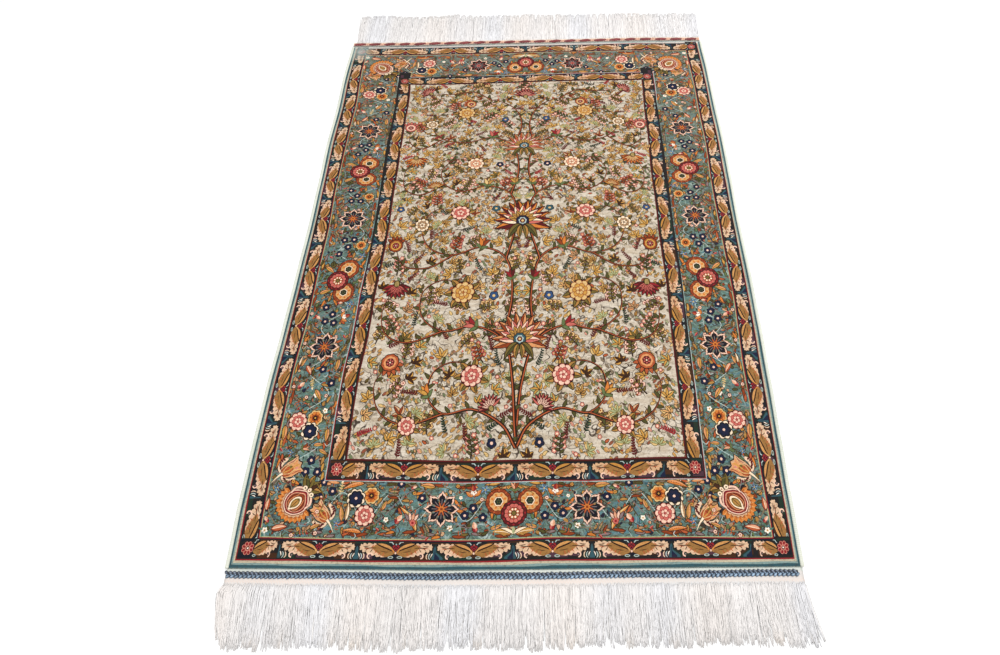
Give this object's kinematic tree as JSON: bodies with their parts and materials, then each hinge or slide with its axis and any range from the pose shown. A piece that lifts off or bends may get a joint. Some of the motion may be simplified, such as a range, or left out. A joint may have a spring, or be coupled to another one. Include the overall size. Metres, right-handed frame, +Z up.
{
  "type": "hereke rug",
  "caption": "Rectangular knotted silk rug with floral borders, overcast sides, flat woven ends, stitched braids and a long fringe at both ends, lying flat.",
  "frame": {"origin": "on the floor, under the middle of the whole rug with its fringes", "axes": "+Z up out of the pile, +Y along the rug from the end with the blue braid to the end with the dashed braid, +X across it"},
  "size_m": [1.0316, 1.6954, 0.0079],
  "materials": {
    "pile": "clipped silk pile, floral borders on teal and navy grounds round a cream field, soft sheen",
    "binding": "ivory silk overcast edge",
    "fringe": "undyed white silk yarn, loose and slightly crimped, on a flat pale web",
    "blue_braid": "two rows of slanting wool-blue chain stitches",
    "dashed_braid": "wrapped cord in dark red dashes with pink and cream between"
  },
  "bodies": {
    "root": {"carpet": "pile", "selvedge_left": "binding", "selvedge_right": "binding", "fringe_near": "fringe", "fringe_far": "fringe", "braid_near": "blue_braid", "braid_far": "dashed_braid"}
  },
  "joints": []
}
